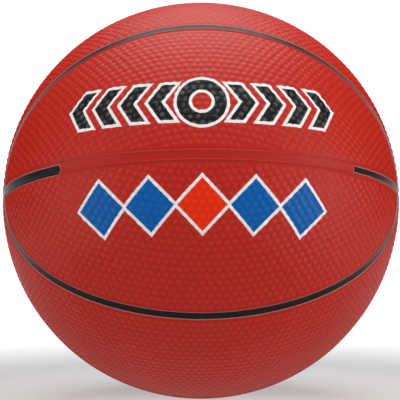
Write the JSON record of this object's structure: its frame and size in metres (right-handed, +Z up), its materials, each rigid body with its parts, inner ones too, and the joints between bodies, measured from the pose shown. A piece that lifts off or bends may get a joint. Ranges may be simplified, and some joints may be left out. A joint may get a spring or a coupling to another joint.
{
  "type": "mini basketball",
  "caption": "Small pebbled rubber basketball with recessed painted channels, a layered wall round an air bladder, and a needle valve whose core pulls out.",
  "frame": {"origin": "centre of the ball", "axes": "+Z up, +Y along the valve axis and out of the ball, -Y towards the front panels, +X to the right as seen from the front"},
  "size_m": [0.1396, 0.1395, 0.1394],
  "materials": {
    "cover_rubber": "pebbled red rubber, satin",
    "channel_paint": "smooth channel floor with black paint, semi-gloss",
    "carcass_rubber": "plain grey-black rubber, matt",
    "nylon_thread": "wound thread, matt",
    "butyl": "black butyl rubber, satin",
    "valve_rubber": "moulded black rubber, satin"
  },
  "bodies": {
    "ball": {"bladder": "butyl", "valve_housing": "valve_rubber", "valve_patch": "butyl", "thread_winding": "nylon_thread", "carcass": "carcass_rubber", "oval_panel_front_upper": "cover_rubber", "oval_panel_front_lower": "cover_rubber", "oval_panel_back_upper": "cover_rubber", "oval_panel_back_lower": "cover_rubber", "crescent_panel_front_upper": "cover_rubber", "crescent_panel_front_lower": "cover_rubber", "crescent_panel_back_upper": "cover_rubber", "crescent_panel_back_lower": "cover_rubber", "oval_strip_front_upper": "channel_paint", "oval_strip_front_lower": "channel_paint", "oval_strip_back_upper": "channel_paint", "oval_strip_back_lower": "channel_paint", "meridian_strip_upper": "channel_paint", "meridian_strip_lower": "channel_paint", "equator_strip": "channel_paint"},
    "valve_core": {"valve_core": "valve_rubber"}
  },
  "joints": [
    {"name": "valve_core_pull", "type": "slide", "parent": "ball", "child": "valve_core", "axis": [0, 1, 0], "range_m": [0, 0.018]}
  ]
}
